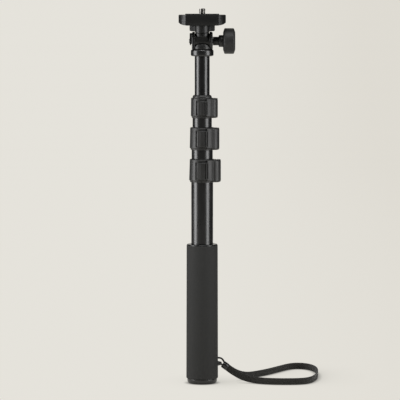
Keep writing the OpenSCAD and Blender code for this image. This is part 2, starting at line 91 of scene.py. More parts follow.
def smooth_route(points, steps):
    """A smooth curve through the points, with that many steps between neighbours."""
    places = [Vector(point) for point in points]
    last = len(places) - 1
    route = []
    for i in range(last):
        a, b = places[max(i - 1, 0)], places[i]
        c, d = places[i + 1], places[min(i + 2, last)]
        for step in range(steps):
            t = step / steps
            route.append(0.5 * (2 * b + (c - a) * t + (2 * a - 5 * b + 4 * c - d) * t ** 2
                                + (3 * b - a - 3 * c + d) * t ** 3))
    route.append(places[last])
    return route


def settled(mesh):
    """Turns a mesh's faces outward and puts its parts in an order that is the same on each run."""
    bmesh.ops.recalc_face_normals(mesh, faces=mesh.faces)
    by_place = sorted(mesh.verts, key=lambda vert: [round(number, PLACE_DIGITS) for number in vert.co])
    for rank, vert in enumerate(by_place):
        vert.index = rank
    mesh.verts.sort()
    for parts in (mesh.edges, mesh.faces):
        by_corners = sorted(parts, key=lambda part: sorted(vert.index for vert in part.verts))
        for rank, part in enumerate(by_corners):
            part.index = rank
        parts.sort()
    return mesh


def sweep(route, section, lean):
    """Extrudes a closed section along a route. The UV map holds millimetres, round the section and along."""
    mesh = bmesh.new()
    across = mesh.verts.layers.int.new("across")
    along = mesh.verts.layers.float.new("along")
    last = len(route) - 1
    stations = []
    for i, place in enumerate(route):
        heading = (route[min(i + 1, last)] - route[max(i - 1, 0)]).normalized()
        side = heading.cross(Vector(lean)).normalized()
        up = side.cross(heading)
        turn = Matrix((side, up, heading)).transposed().to_4x4()
        stations.append(Matrix.Translation(place) @ turn)
    ring = []
    for j, (x, y) in enumerate(section):
        vert = mesh.verts.new(stations[0] @ Vector((x, y, 0.0)))
        vert[across] = j
        ring.append(vert)
    edges = [mesh.edges.new((ring[j - 1], ring[j])) for j in range(len(ring))]
    ends = [list(ring)]
    distance = 0.0
    for i in range(1, len(stations)):
        distance += (route[i] - route[i - 1]).length * 1000.0
        made = bmesh.ops.extrude_edge_only(mesh, edges=edges)["geom"]
        ring = [part for part in made if isinstance(part, bmesh.types.BMVert)]
        edges = [part for part in made if isinstance(part, bmesh.types.BMEdge)]
        bmesh.ops.transform(mesh, matrix=stations[i] @ stations[i - 1].inverted(), verts=ring)
        for vert in ring:
            vert[along] = distance
    ends.append(sorted(ring, key=lambda vert: vert[across]))
    around = [0.0]
    for j in range(len(section)):
        step = Vector(section[(j + 1) % len(section)]) - Vector(section[j])
        around.append(around[-1] + step.length * 1000.0)
    uv = mesh.loops.layers.uv.new("strand")
    for face in mesh.faces:
        places = [loop.vert[across] for loop in face.loops]
        wraps = max(places) - min(places) > 1
        for loop, j in zip(face.loops, places):
            loop[uv].uv = (around[len(section) if wraps and j == 0 else j], loop.vert[along])
    for end in ends:
        mesh.faces.new(end)
    return settled(mesh)


def finished(mesh, name, material, body, nodes, crease=40.0):
    """Turns a bmesh into a piece that rides on a body and stands for CAD nodes."""
    for face in mesh.faces:
        face.smooth = True
    for edge in mesh.edges:
        edge.smooth = not edge.is_manifold or edge.calc_face_angle() < math.radians(crease)
    data = bpy.data.meshes.new(name)
    mesh.to_mesh(data)
    mesh.free()
    data.materials.append(material)
    piece = bpy.data.objects.new(name, data)
    scene.collection.objects.link(piece)
    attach(piece, body)
    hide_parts(*nodes)
    return piece


def feed(tree, socket, value):
    """Links a socket to another one, or gives it a number or a colour."""
    if isinstance(value, bpy.types.NodeSocket):
        tree.links.new(value, socket)
    elif isinstance(value, tuple):
        socket.default_value = (*value, 1.0)
    else:
        socket.default_value = value


def new_material(name, colour, roughness, specular=0.5):
    """A material, with its node tree and its Principled shader."""
    material = bpy.data.materials.new(name)
    material.use_nodes = True
    tree = material.node_tree
    shader = tree.nodes["Principled BSDF"]
    feed(tree, shader.inputs["Base Color"], colour)
    feed(tree, shader.inputs["Roughness"], roughness)
    feed(tree, shader.inputs["Specular IOR Level"], specular)
    return material, tree, shader


def new_group(name, inputs, outputs):
    """An empty shader node group, from the names and kinds of its sockets."""
    group = bpy.data.node_groups.new(name, "ShaderNodeTree")
    for direction, sockets in (("INPUT", inputs), ("OUTPUT", outputs)):
        for socket, kind in sockets:
            group.interface.new_socket(socket, in_out=direction, socket_type="NodeSocket" + kind)
    return group, group.nodes.new("NodeGroupInput").outputs, group.nodes.new("NodeGroupOutput").inputs


def add_group(tree, group, values):
    """Puts a node group into a tree with these input values, and gives its outputs."""
    node = tree.nodes.new("ShaderNodeGroup")
    node.node_tree = group
    for socket, value in values.items():
        feed(tree, node.inputs[socket], value)
    return node.outputs


def add_math(tree, operation, *values):
    """A Math node of numbers or sockets."""
    node = tree.nodes.new("ShaderNodeMath")
    node.operation = operation
    for socket, value in zip(node.inputs, values):
        feed(tree, socket, value)
    return node.outputs[0]


def add_noise(tree, place, scale, detail):
    """A noise texture's factor at a place."""
    node = tree.nodes.new("ShaderNodeTexNoise")
    feed(tree, node.inputs["Vector"], place)
    feed(tree, node.inputs["Scale"], scale)
    feed(tree, node.inputs["Detail"], detail)
    return node.outputs[0]


def add_mix(tree, factor, first, second):
    """A mix of two colours."""
    node = tree.nodes.new("ShaderNodeMix")
    node.data_type = "RGBA"
    feed(tree, node.inputs["Factor"], factor)
    feed(tree, node.inputs["A"], first)
    feed(tree, node.inputs["B"], second)
    return node.outputs["Result"]


def add_bump(tree, shader, height, strength, depth):
    """Raises a shader's surface by a height."""
    node = tree.nodes.new("ShaderNodeBump")
    feed(tree, node.inputs["Height"], height)
    feed(tree, node.inputs["Strength"], strength)
    feed(tree, node.inputs["Distance"], depth)
    feed(tree, shader.inputs["Normal"], node.outputs["Normal"])


# The weave group turns a strand's UV, in millimetres, into raised yarns that cross over and under, and
# paints shade into the dips between them
weave, weave_in, weave_out = new_group(
    "yarn_weave",
    [("Vector", "Vector"), ("Yarns across", "Float"), ("Yarns along", "Float"), ("Dark", "Color"),
     ("Light", "Color")],
    [("Colour", "Color"), ("Height", "Float")])
split = weave.nodes.new("ShaderNodeSeparateXYZ")
feed(weave, split.inputs[0], weave_in["Vector"])
yarn_u = add_math(weave, "MULTIPLY", split.outputs["X"], weave_in["Yarns across"])
yarn_v = add_math(weave, "MULTIPLY", split.outputs["Y"], weave_in["Yarns along"])
yarn_row = add_math(weave, "FLOOR", yarn_u)
slid_v = add_math(weave, "MULTIPLY_ADD", yarn_row, 0.5, yarn_v)
crown_u = add_math(weave, "PINGPONG", yarn_u, 0.5)
crown_v = add_math(weave, "PINGPONG", slid_v, 0.5)
round_u = add_math(weave, "SINE", add_math(weave, "MULTIPLY", crown_u, math.pi))
round_v = add_math(weave, "SINE", add_math(weave, "MULTIPLY", crown_v, math.pi))
yarn_height = add_math(weave, "MULTIPLY", round_u, add_math(weave, "POWER", round_v, 0.6))
fuzz = add_noise(weave, weave_in["Vector"], scale=6.0, detail=3.0)
# Painted shade: the yarns' crowns get the light colour and the dips between them the dark one, with random
# fuzz
painted_yarn_light = add_math(weave, "MULTIPLY", yarn_height, add_math(weave, "ADD", fuzz, 0.4))
feed(weave, weave_out["Colour"], add_mix(weave, painted_yarn_light, weave_in["Dark"], weave_in["Light"]))
feed(weave, weave_out["Height"], add_math(weave, "MULTIPLY_ADD", fuzz, 0.3, yarn_height))


def woven(name, dark, light, yarns_across, yarns_along, depth):
    """A woven or braided nylon finish on a strand's own UV map."""
    material, tree, shader = new_material(name, light, roughness=0.8, specular=0.25)
    shader.inputs["Sheen Weight"].default_value = 0.25
    shader.inputs["Sheen Roughness"].default_value = 0.4
    strand = tree.nodes.new("ShaderNodeUVMap")
    strand.uv_map = "strand"
    cloth = add_group(tree, weave, {"Vector": strand.outputs["UV"], "Yarns across": yarns_across,
                                    "Yarns along": yarns_along, "Dark": dark, "Light": light})
    # Painted shade: the dark colour fills the dips between the yarns and the light one their crowns
    feed(tree, shader.inputs["Base Color"], cloth["Colour"])
    add_bump(tree, shader, cloth["Height"], strength=0.8, depth=depth)
    return material


half_t = WEBBING_THICKNESS / 2
half_w = WEBBING_WIDTH / 2
flat_w = half_w - SELVEDGE * 2
bend_w = half_w - SELVEDGE * 0.6
# One flat side and the round edge beside it; the other half of the section is the same, turned about
half_section = [(half_t, -flat_w), (half_t * 0.94, 0.0), (half_t, flat_w), (half_t * 0.8, bend_w),
                (half_t * 0.35, half_w), (-half_t * 0.35, half_w), (-half_t * 0.8, bend_w)]
webbing_section = half_section + [(-x, -y) for x, y in half_section]
webbing_route = smooth_route(WEBBING_ROUTE, WEBBING_STEPS)
webbing_mesh = sweep(webbing_route, webbing_section, lean=(0.0, 0.0, 1.0))
woven_nylon = woven("woven_nylon", dark=(0.013, 0.0125, 0.011), light=(0.029, 0.028, 0.0245),
                    yarns_across=1.5, yarns_along=0.8, depth=0.00012)
webbing = finished(webbing_mesh, "wrist_webbing", woven_nylon, "handle", ["strap_webbing"],
                   STRAND_CREASE)

# Strap cord
# A thin braided cord that comes out of a hole in the foam, turns round inside the bead and goes back
# into the tapered anchor. It carries the bead and the webbing.
CORD_DIAMETER = 0.0018
CORD_SIDES = 12
CORD_STEPS = 4
CORD_ROUTE = [
    (0.0116, 0.0044, 0.0247), (0.0138, 0.0036, 0.0249), (0.0160, 0.0027, 0.0251),
    (0.0182, 0.0016, 0.0251), (0.0202, 0.0007, 0.0242), (0.0215, 0.0002, 0.0226),
    (0.0223, 0.0, 0.0212), (0.0235, 0.0, 0.0202), (0.0243, 0.0, 0.0188),
    (0.0243, 0.0, 0.0174), (0.0233, 0.0, 0.0163), (0.0219, 0.0, 0.0164),
    (0.0209, 0.0, 0.0174), (0.0202, 0.0, 0.0186), (0.0188, 0.0, 0.0194),
    (0.0168, 0.0, 0.0197), (0.0144, 0.0, 0.0198), (0.0120, 0.0, 0.0198),
]
cord_section = []
for side in range(CORD_SIDES):
    angle = math.tau * side / CORD_SIDES
    cord_section.append((CORD_DIAMETER / 2 * math.cos(angle), CORD_DIAMETER / 2 * math.sin(angle)))
cord_route = smooth_route(CORD_ROUTE, CORD_STEPS)
cord_mesh = sweep(cord_route, cord_section, lean=(0.0, 1.0, 0.0))
braided_nylon = woven("braided_nylon", dark=(0.011, 0.011, 0.01), light=(0.026, 0.0255, 0.0235),
                      yarns_across=2.7, yarns_along=1.4, depth=0.00008)
cord = finished(cord_mesh, "wrist_cord", braided_nylon, "handle", ["strap_cord"], STRAND_CREASE)

# Strap bead
# A moulded black bead, crimped over the ends of the webbing and threaded on the thin cord. It leans
# down to the right, along the pull of the strap.
BEAD_PLACE = (0.0234, 0.0, 0.0174)
BEAD_TILT = 127.0
BEAD_LENGTH = 0.0064
BEAD_RADIUS = 0.0036
BEAD_CORNER = 0.0011
BEAD_SIDES = 48
CORNER_STEPS = 5
TURNED_JOIN = 1e-7


def lathe(profile, sides, closed=False):
    """Spins a profile of (radius, height, corner radius) about Z; a point may have no corner radius."""
    mesh = bmesh.new()
    verts = [mesh.verts.new((point[0], 0.0, point[1])) for point in profile]
    for first, second in zip(verts, verts[1:]):
        mesh.edges.new((first, second))
    if closed:
        mesh.edges.new((verts[-1], verts[0]))
    for vert, point in zip(verts, profile):
        if len(point) > 2:
            bmesh.ops.bevel(mesh, geom=[vert], offset=point[2], segments=CORNER_STEPS, profile=0.5,
                            affect="VERTICES", material=-1)
    bmesh.ops.spin(mesh, geom=list(mesh.verts) + list(mesh.edges), cent=(0, 0, 0), axis=(0, 0, 1),
                   dvec=(0, 0, 0), angle=math.tau, steps=sides, use_merge=True, use_duplicate=False)
    bmesh.ops.remove_doubles(mesh, verts=mesh.verts, dist=TURNED_JOIN)
    return settled(mesh)


def lean_over(mesh, degrees):
    """Turns a mesh about Y, so that what stood up leans towards +X."""
    turn = Matrix.Rotation(math.radians(degrees), 3, "Y")
    bmesh.ops.rotate(mesh, verts=mesh.verts, cent=(0, 0, 0), matrix=turn)


def add_range(tree, value, source, target):
    """A Map Range node's result; source and target each hold a lowest and a highest value."""
    node = tree.nodes.new("ShaderNodeMapRange")
    feed(tree, node.inputs["Value"], value)
    for way, (low, high) in (("From", source), ("To", target)):
        feed(tree, node.inputs[way + " Min"], low)
        feed(tree, node.inputs[way + " Max"], high)
    return node.outputs["Result"]


def object_place(tree):
    """The object's own coordinates, in metres."""
    return tree.nodes.new("ShaderNodeTexCoord").outputs["Object"]


# The grain group gives moulded plastic and rubber a fine texture and the uneven gloss of handling
grain, grain_in, grain_out = new_group(
    "moulded_grain",
    [("Colour", "Color"), ("Grain scale", "Float"), ("Gloss low", "Float"), ("Gloss high", "Float")],
    [("Colour", "Color"), ("Roughness", "Float"), ("Height", "Float")])
grain_place = object_place(grain)
handling = add_noise(grain, grain_place, scale=60.0, detail=3.0)
tinted = grain.nodes.new("ShaderNodeVectorMath")
tinted.operation = "SCALE"
feed(grain, tinted.inputs[0], grain_in["Colour"])
feed(grain, tinted.inputs["Scale"], add_range(grain, handling, source=(0.0, 1.0), target=(0.86, 1.14)))
feed(grain, grain_out["Colour"], tinted.outputs[0])
grain_gloss = add_range(grain, handling, source=(0.3, 0.7),
                        target=(grain_in["Gloss low"], grain_in["Gloss high"]))
feed(grain, grain_out["Roughness"], grain_gloss)
feed(grain, grain_out["Height"], add_noise(grain, grain_place, grain_in["Grain scale"], detail=4.0))


def moulded(name, colour, gloss, grain_scale, depth, specular=0.5):
    """A moulded plastic or rubber finish; gloss is its lowest and highest roughness."""
    gloss_low, gloss_high = gloss
    material, tree, shader = new_material(name, colour, (gloss_low + gloss_high) / 2, specular)
    skin = add_group(tree, grain, {"Colour": colour, "Grain scale": grain_scale, "Gloss low": gloss_low,
                                   "Gloss high": gloss_high})
    feed(tree, shader.inputs["Base Color"], skin["Colour"])
    feed(tree, shader.inputs["Roughness"], skin["Roughness"])
    add_bump(tree, shader, skin["Height"], strength=0.5, depth=depth)
    return material


satin_plastic = moulded("satin_plastic", (0.008, 0.008, 0.0077), gloss=(0.2, 0.28), grain_scale=2500.0,
                        depth=0.00002, specular=0.6)
bead_mesh = lathe([(0.0, 0.0), (BEAD_RADIUS, 0.0, BEAD_CORNER), (BEAD_RADIUS, BEAD_LENGTH, BEAD_CORNER),
                   (0.0, BEAD_LENGTH)], BEAD_SIDES)
bmesh.ops.translate(bead_mesh, verts=bead_mesh.verts, vec=(0.0, 0.0, -BEAD_LENGTH / 2))
lean_over(bead_mesh, BEAD_TILT)
bmesh.ops.translate(bead_mesh, verts=bead_mesh.verts, vec=BEAD_PLACE)
bead = finished(bead_mesh, "strap_crimp_bead", satin_plastic, "handle", ["strap_bead"])

# Strap anchor
# A tapered strain relief of moulded plastic, rooted against the lower tube and standing out through a
# hole in the foam.
ANCHOR_HEIGHT = 0.0198
ANCHOR_ROOT = 0.0111
ANCHOR_SHOULDER = 0.0160
ANCHOR_END = 0.0198
ANCHOR_RADIUS = 0.0024
ANCHOR_END_RADIUS = 0.0016
SHOULDER_CORNER = 0.0012
ANCHOR_END_CORNER = 0.0006
ANCHOR_SIDES = 40
anchor_mesh = lathe([(0.0, ANCHOR_ROOT), (ANCHOR_RADIUS, ANCHOR_ROOT),
                     (ANCHOR_RADIUS, ANCHOR_SHOULDER, SHOULDER_CORNER),
                     (ANCHOR_END_RADIUS, ANCHOR_END, ANCHOR_END_CORNER), (0.0, ANCHOR_END)], ANCHOR_SIDES)
lean_over(anchor_mesh, 90.0)
bmesh.ops.translate(anchor_mesh, verts=anchor_mesh.verts, vec=(0.0, 0.0, ANCHOR_HEIGHT))
finished(anchor_mesh, "strap_strain_relief", satin_plastic, "handle", ["strap_anchor"])

# Base cap
# A moulded cap with a round lower edge. Its plug is pressed into the foot of the lower tube, and the
# foam stands on its rim.
ROUND_SIDES = 128
CAP_RIM = 0.005
CAP_FOOT_CORNER = 0.0029
CAP_RIM_CORNER = 0.0003
PLUG_RADIUS = 0.0103
PLUG_CORNER = 0.0004


def turned_size(node):
    """The radius, foot and top of a turned CAD node."""
    low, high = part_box(node)
    return high[0], low[2], high[2]


cap_radius, cap_foot, plug_top = turned_size("base_cap")
lower_radius, lower_foot = turned_size("lower_tube")[:2]
cap_mesh = lathe([(0.0, cap_foot), (cap_radius, cap_foot, CAP_FOOT_CORNER),
                  (cap_radius, CAP_RIM, CAP_RIM_CORNER), (lower_radius, CAP_RIM), (lower_radius, lower_foot),
                  (PLUG_RADIUS, lower_foot), (PLUG_RADIUS, plug_top, PLUG_CORNER), (0.0, plug_top)],
                 ROUND_SIDES)
finished(cap_mesh, "grip_base_cap", satin_plastic, "handle", ["base_cap"])

# Foam grip
# A thick tube of dense closed-cell foam, pushed over the lower tube. It is a little wider at its foot
# and has a soft, dry surface of very fine cells.
FOAM_TOP_RADIUS = 0.0157
FOAM_END = 0.1404
FOAM_FOOT_CORNER = 0.0009
FOAM_END_CORNER = 0.0006
FOAM_DARK = (0.0152, 0.0152, 0.0147)
FOAM_LIGHT = (0.027, 0.027, 0.0261)
foam_radius, foam_foot = turned_size("foam_grip")[:2]
foam_mesh = lathe([(lower_radius, foam_foot), (foam_radius, foam_foot, FOAM_FOOT_CORNER),
                   (FOAM_TOP_RADIUS, FOAM_END, FOAM_END_CORNER), (lower_radius, FOAM_END)], ROUND_SIDES,
                  closed=True)
foam, tree, shader = new_material("closed_cell_foam", FOAM_LIGHT, roughness=0.75, specular=0.35)
foam_place = object_place(tree)
cells = tree.nodes.new("ShaderNodeTexVoronoi")
feed(tree, cells.inputs["Vector"], foam_place)
feed(tree, cells.inputs["Scale"], 2600.0)
pores = add_noise(tree, foam_place, scale=900.0, detail=5.0)
feed(tree, shader.inputs["Base Color"], add_mix(tree, pores, FOAM_DARK, FOAM_LIGHT))
foam_relief = add_math(tree, "MULTIPLY_ADD", pores, 0.8, cells.outputs["Distance"])
add_bump(tree, shader, foam_relief, strength=0.6, depth=0.00012)
grip = finished(foam_mesh, "grip_foam_tube", foam, "handle", ["foam_grip"])

# Grip ring
# A thin moulded ring on the lower tube that closes the foam's upper end, of the same satin plastic as
# the base cap and with a well rounded rim.
RING_RADIUS = 0.0154
RING_TOP = 0.14145
RING_RIM = 0.0009
ring_mesh = lathe([(lower_radius, FOAM_END), (RING_RADIUS, FOAM_END), (RING_RADIUS, RING_TOP, RING_RIM),
                   (lower_radius, RING_TOP)], ROUND_SIDES, closed=True)
finished(ring_mesh, "grip_end_ring", satin_plastic, "handle", ["grip_ring"])

# Tubes and sleeves
# Four drawn aluminium tubes, black anodised, one inside the other. Two short sleeves of the same metal
# stiffen the upper ends of the second and the third tube and carry their clamps.
TUBE_WALL = 0.0007
TUBE_EDGE = 0.00015
SLEEVE_EDGE = 0.0002
TUBE_BODIES = {"lower_tube": "handle", "second_tube": "second_section", "third_tube": "third_section",
               "top_tube": "top_section"}
SLEEVE_TUBES = {"middle_sleeve": "second_tube", "upper_sleeve": "third_tube"}
ANODISED_DARK = (0.003, 0.003, 0.003)
ANODISED_LIGHT = (0.006, 0.006, 0.0058)
DRAWN_STRETCH = (1800.0, 1800.0, 12.0)
anodised, tree, shader = new_material("black_anodised", ANODISED_LIGHT, roughness=0.27, specular=0.75)
tube_place = object_place(tree)
stretch = tree.nodes.new("ShaderNodeMapping")
stretch.inputs["Scale"].default_value = DRAWN_STRETCH
feed(tree, stretch.inputs["Vector"], tube_place)
drawn = add_noise(tree, stretch.outputs["Vector"], scale=1.0, detail=3.0)
hands = add_noise(tree, tube_place, scale=45.0, detail=2.0)
uneven = add_math(tree, "MULTIPLY_ADD", drawn, 0.15, hands)
tube_gloss = add_range(tree, uneven, source=(0.3, 0.85), target=(0.25, 0.34))
feed(tree, shader.inputs["Roughness"], tube_gloss)
feed(tree, shader.inputs["Base Color"], add_mix(tree, hands, ANODISED_DARK, ANODISED_LIGHT))
add_bump(tree, shader, drawn, strength=0.06, depth=0.00001)


def metal_ring(inner, outer, low, high, edge):
    """A turned tube or sleeve with slightly rounded ends; two rings near them keep its side straight."""
    hold = 4.0 * edge
    return lathe([(inner, low, edge), (outer, low, edge), (outer, low + hold), (outer, high - hold),
                  (outer, high, edge), (inner, high, edge)], ROUND_SIDES, closed=True)


for node, body in TUBE_BODIES.items():
    radius, low, high = turned_size(node)
    tube_mesh = metal_ring(radius - TUBE_WALL, radius, low, high, TUBE_EDGE)
    finished(tube_mesh, "pole_" + node, anodised, body, [node])
for node, tube in SLEEVE_TUBES.items():
    radius, low, high = turned_size(node)
    sleeve_mesh = metal_ring(turned_size(tube)[0], radius, low, high, SLEEVE_EDGE)
    finished(sleeve_mesh, "pole_" + node, anodised, TUBE_BODIES[tube], [node])

# Clamps
# Moulded clamp bodies pushed over the tube ends, each with two lugs for the lever's pin and a window for
# the brake pad. The upper one carries a wiper ring round the top tube.
SOLID_JOIN = 1e-6
MOULD_GRID = 0.00016
MOULD_SHARE = 0.3
CLAMP_PASSES = 5
WIPER_INNER = 0.00755
WIPER_LIP = 0.00875
WIPER_SHOULDER = 0.2902
WIPER_EDGE = 0.0004
WIPER_SIDES = 96
CLAMP_BODIES = {"lower": "handle", "middle": "second_section", "upper": "third_section"}


def merged(node):
    """A closed copy of a CAD node's loose triangles."""
    mesh = bmesh.new()
    mesh.from_mesh(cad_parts[node].data)
    bmesh.ops.remove_doubles(mesh, verts=mesh.verts, dist=SOLID_JOIN)
    return mesh


def softened(node, passes):
    """A copy of a CAD node with a moulding's rounded edges: remeshed on a fine grid, then smoothed."""
    mesh = merged(node)
    data = bpy.data.meshes.new(node + "_rough")
    mesh.to_mesh(data)
    mesh.free()
    rough = bpy.data.objects.new(node + "_rough", data)
    scene.collection.objects.link(rough)
    fine = rough.modifiers.new("fine", "REMESH")
    fine.mode = "VOXEL"
    fine.voxel_size = MOULD_GRID
    smooth = rough.modifiers.new("smooth", "SMOOTH")
    smooth.factor = 0.5
    smooth.iterations = passes
    fewer = rough.modifiers.new("fewer", "DECIMATE")
    fewer.ratio = MOULD_SHARE
    made = rough.evaluated_get(bpy.context.evaluated_depsgraph_get())
    mesh = bmesh.new()
    mesh.from_mesh(made.to_mesh())
    made.to_mesh_clear()
    bpy.data.objects.remove(rough)
    bpy.data.meshes.remove(data)
    return mesh


clamp_plastic = moulded("clamp_plastic", (0.016, 0.016, 0.0154), gloss=(0.4, 0.5), grain_scale=2200.0,
                        depth=0.00002)
for level, body in CLAMP_BODIES.items():
    node = level + "_clamp"
    finished(softened(node, CLAMP_PASSES), node + "_body", clamp_plastic, body, [node])
wiper_radius, wiper_foot, wiper_top = turned_size("wiper_ring")
wiper_mesh = lathe([(WIPER_INNER, wiper_foot), (wiper_radius, wiper_foot),
                    (wiper_radius, WIPER_SHOULDER, WIPER_EDGE), (WIPER_LIP, wiper_top, WIPER_EDGE),
                    (WIPER_INNER, wiper_top)], WIPER_SIDES, closed=True)
finished(wiper_mesh, "upper_wiper_ring", clamp_plastic, "third_section", ["wiper_ring"])

# Clamp levers
# Flip levers of the same plastic, each hinged on a steel pin in its clamp's lugs. The thumb tab stands
# out at the free end, and the round nose hides the cam.
for level in CLAMP_BODIES:
    node = level + "_lever"
    finished(softened(node, CLAMP_PASSES), level + "_flip_lever", clamp_plastic, node,
             [node])

# Head collar
# A turned aluminium collar, closed at the top, pressed on the top tube's end and anodised like the
# tubes. The tilt fork stands on it.
COLLAR_RIM = 0.0016
COLLAR_MOUTH = 0.0003
top_radius, _, top_end = turned_size("top_tube")
collar_radius, collar_foot, collar_top = turned_size("head_collar")
collar_mesh = lathe([(top_radius, collar_foot, COLLAR_MOUTH), (collar_radius, collar_foot, COLLAR_RIM),
                     (collar_radius, collar_top, COLLAR_RIM), (0.0, collar_top), (0.0, top_end),
                     (top_radius, top_end)], ROUND_SIDES, closed=True)
finished(collar_mesh, "head_tube_collar", anodised, "top_section", ["head_collar"])

# Tilt fork
# A moulded fork on the collar: a flared foot, a flat cheek on the left and a round one on the right. The
# bolt runs through both cheeks, and a steel nut sits in the left one's pad.
HEAD_PASSES = 3
head_plastic = moulded("head_plastic", (0.008, 0.008, 0.0077), gloss=(0.36, 0.45), grain_scale=2400.0,
                       depth=0.00002)
finished(softened("tilt_fork", HEAD_PASSES), "head_tilt_fork", head_plastic, "top_section",
         ["tilt_fork"])

# Tilt post
# An aluminium casting whose barrel is clamped between the fork's cheeks. Its head is slotted for the
# lock wheel, and the camera plate is fixed on top of it.
casting = moulded("black_casting", (0.006, 0.006, 0.0058), gloss=(0.38, 0.47), grain_scale=2400.0,
                  depth=0.00002)
finished(softened("tilt_post", HEAD_PASSES), "head_tilt_post", casting, "tilt_head",
         ["tilt_post"])

# Camera screw
# A plated steel screw with a quarter-inch thread, twenty turns to the inch. Its foot turns in the tilt
# post, the lock wheel is pressed on its seat, and a thin neck leads up to the thread.
SCREW_RADIUS = 0.003175
SCREW_CORE = 0.00265
SCREW_NECK = 0.0026
SCREW_PITCH = 0.00127
SCREW_TOP = 0.3786
SCREW_TIP = 0.0007
THREAD_FOOT = 0.3732
THREAD_STEPS = 48
NECK_TOP = 0.3729
SEAT_TOP = 0.3616
SEAT_FOOT = 0.35585
SHANK_FOOT = 0.3520
SCREW_SHANK = [(SCREW_NECK, NECK_TOP), (SCREW_NECK, SEAT_TOP), (SCREW_RADIUS, SEAT_TOP),
               (SCREW_RADIUS, SEAT_FOOT), (SCREW_NECK, SEAT_FOOT), (SCREW_NECK, SHANK_FOOT)]
# One turn of the thread: radius, and share of the pitch. It is wound too long at both ends and then cut
FLANK = [(SCREW_CORE, 0.0), (SCREW_CORE, 0.1), (SCREW_RADIUS, 0.36), (SCREW_RADIUS, 0.64), (SCREW_CORE, 0.9),
         (SCREW_CORE, 1.0)]
thread_turns = int((SCREW_TOP - THREAD_FOOT) / SCREW_PITCH) + 3
thread_start = THREAD_FOOT - SCREW_PITCH
screw_mesh = bmesh.new()
verts = [screw_mesh.verts.new((radius, 0.0, thread_start + share * SCREW_PITCH)) for radius, share in FLANK]
edges = [screw_mesh.edges.new(pair) for pair in zip(verts, verts[1:])]
bmesh.ops.spin(screw_mesh, geom=verts + edges, cent=(0, 0, 0), axis=(0, 0, 1),
               dvec=(0, 0, SCREW_PITCH / THREAD_STEPS), angle=math.tau * thread_turns,
               steps=THREAD_STEPS * thread_turns, use_merge=False, use_duplicate=False)
bmesh.ops.remove_doubles(screw_mesh, verts=screw_mesh.verts, dist=SOLID_JOIN)


def cut_thread(mesh, height, normal):
    """Cuts the thread off square and gives the edges of the cut."""
    geometry = list(mesh.verts) + list(mesh.edges) + list(mesh.faces)
    cut = bmesh.ops.bisect_plane(mesh, geom=geometry, dist=TURNED_JOIN, plane_co=(0, 0, height),
                                 plane_no=normal, clear_outer=True)
    return [part for part in cut["geom_cut"] if isinstance(part, bmesh.types.BMEdge)]


def draw_out(mesh, rim, radius, height):
    """Extrudes a rim to a round one of that radius and height, and gives the new edges."""
    made = bmesh.ops.extrude_edge_only(mesh, edges=rim)["geom"]
    for part in made:
        if isinstance(part, bmesh.types.BMVert):
            outward = Vector((part.co.x, part.co.y, 0.0)).normalized()
            part.co = outward * radius + Vector((0.0, 0.0, height))
    return [part for part in made if isinstance(part, bmesh.types.BMEdge)]


tip_rim = cut_thread(screw_mesh, SCREW_TOP - SCREW_TIP, (0, 0, 1))
tip_rim = draw_out(screw_mesh, tip_rim, SCREW_RADIUS - SCREW_TIP, SCREW_TOP)
bmesh.ops.edgeloop_fill(screw_mesh, edges=tip_rim)
shank_rim = cut_thread(screw_mesh, THREAD_FOOT, (0, 0, -1))
for radius, height in SCREW_SHANK:
    shank_rim = draw_out(screw_mesh, shank_rim, radius, height)
bmesh.ops.edgeloop_fill(screw_mesh, edges=shank_rim)


def turned_steel(name, dull, bright, gloss):
    """A turned steel finish with fine scratches in its gloss and its plating."""
    material, tree, shader = new_material(name, bright, sum(gloss) / 2)
    shader.inputs["Metallic"].default_value = 1.0
    scratches = add_noise(tree, object_place(tree), scale=1500.0, detail=4.0)
    feed(tree, shader.inputs["Roughness"], add_range(tree, scratches, source=(0.0, 1.0), target=gloss))
    feed(tree, shader.inputs["Base Color"], add_mix(tree, scratches, dull, bright))
    return material


plated_steel = turned_steel("plated_steel", dull=(0.22, 0.213, 0.2), bright=(0.32, 0.31, 0.29),
                            gloss=(0.16, 0.36))
finished(settled(screw_mesh), "head_camera_screw", plated_steel, "wheel", ["camera_screw"])

# Lock wheel
# A moulded wheel with a fluted rim, pressed on the camera screw. It turns in the slot of the tilt post's
# head, and only its rim shows at the sides.
wheel_plastic = moulded("wheel_plastic", (0.007, 0.007, 0.0067), gloss=(0.44, 0.54), grain_scale=2200.0,
                        depth=0.00002, specular=0.35)
finished(softened("lock_wheel", HEAD_PASSES), "head_lock_wheel", wheel_plastic, "wheel",
         ["lock_wheel"])

# Camera plate
# A deep moulded plate with cut corners and fine grip lines on both ends, fixed on the tilt post. A thin
# rubber pad on it takes the camera.
PLATE_BEVEL = 0.0003
FINE_BEVEL = 0.0002
BEVEL_CREASE = 35.0
FLAT_CREASE = 0.5


def bevelled(node, width):
    """A copy of a CAD node with its sharp edges bevelled."""
    mesh = merged(node)
    bmesh.ops.dissolve_limit(mesh, angle_limit=math.radians(FLAT_CREASE), verts=mesh.verts, edges=mesh.edges)
    sharp = [edge for edge in mesh.edges
             if edge.is_manifold and edge.calc_face_angle() > math.radians(BEVEL_CREASE)]
    bmesh.ops.bevel(mesh, geom=sharp, offset=width, segments=2, profile=0.5, affect="EDGES",
                    clamp_overlap=True, material=-1)
    return mesh


plate_plastic = moulded("plate_plastic", (0.0055, 0.0055, 0.0053), gloss=(0.36, 0.46), grain_scale=2600.0,
                        depth=0.00004, specular=0.4)
pad_rubber = moulded("pad_rubber", (0.02, 0.02, 0.02), gloss=(0.6, 0.75), grain_scale=1400.0,
                     depth=0.0001, specular=0.3)
finished(bevelled("camera_plate", PLATE_BEVEL), "head_camera_plate", plate_plastic, "tilt_head",
         ["camera_plate"])
finished(bevelled("plate_pad", FINE_BEVEL), "head_plate_pad", pad_rubber, "tilt_head",
         ["plate_pad"])

